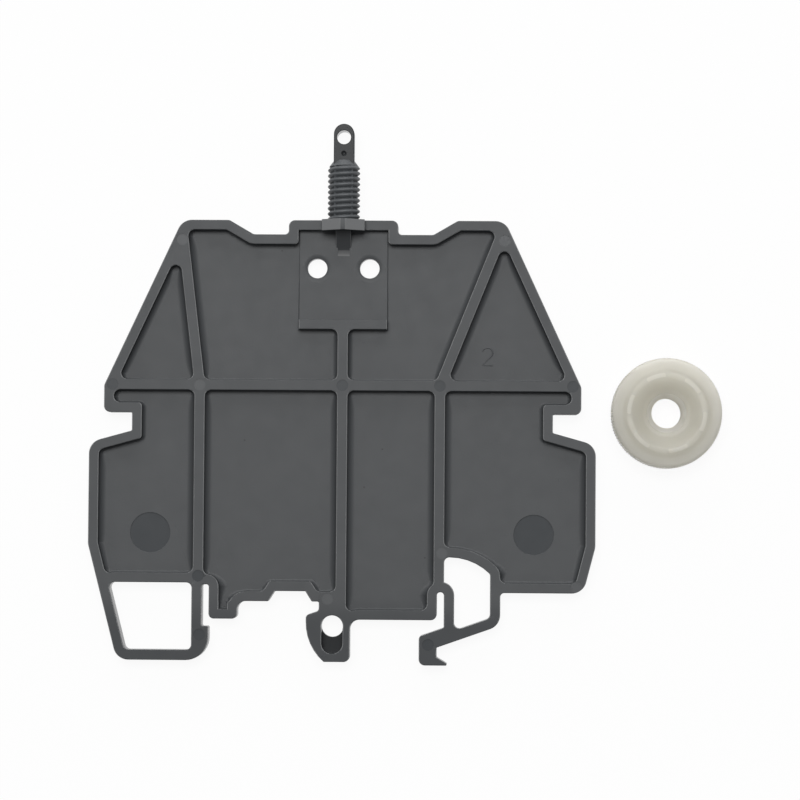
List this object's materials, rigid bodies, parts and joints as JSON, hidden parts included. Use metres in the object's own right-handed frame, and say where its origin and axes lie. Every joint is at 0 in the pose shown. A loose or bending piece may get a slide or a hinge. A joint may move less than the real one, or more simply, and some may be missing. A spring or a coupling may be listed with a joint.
{
  "type": "terminal block end cover",
  "caption": "Ribbed moulded end cover that snaps onto a mounting rail, with a threaded stud and eye on its top edge and a loose knurled nut.",
  "frame": {"origin": "on the cover's flat back, on the stud's axis in plan, midway between the rail seat and the top edge", "axes": "+Z from the back to the ribs, +Y from the rail towards the stud, +X along the rail's width"},
  "size_m": [0.0928, 0.0794, 0.0058],
  "materials": {
    "grey_polyamide": "satin moulded dark grey",
    "natural_nylon": "milky natural nylon"
  },
  "bodies": {
    "root": {"end_cover": "grey_polyamide", "knurled_nut": "natural_nylon"}
  },
  "joints": []
}
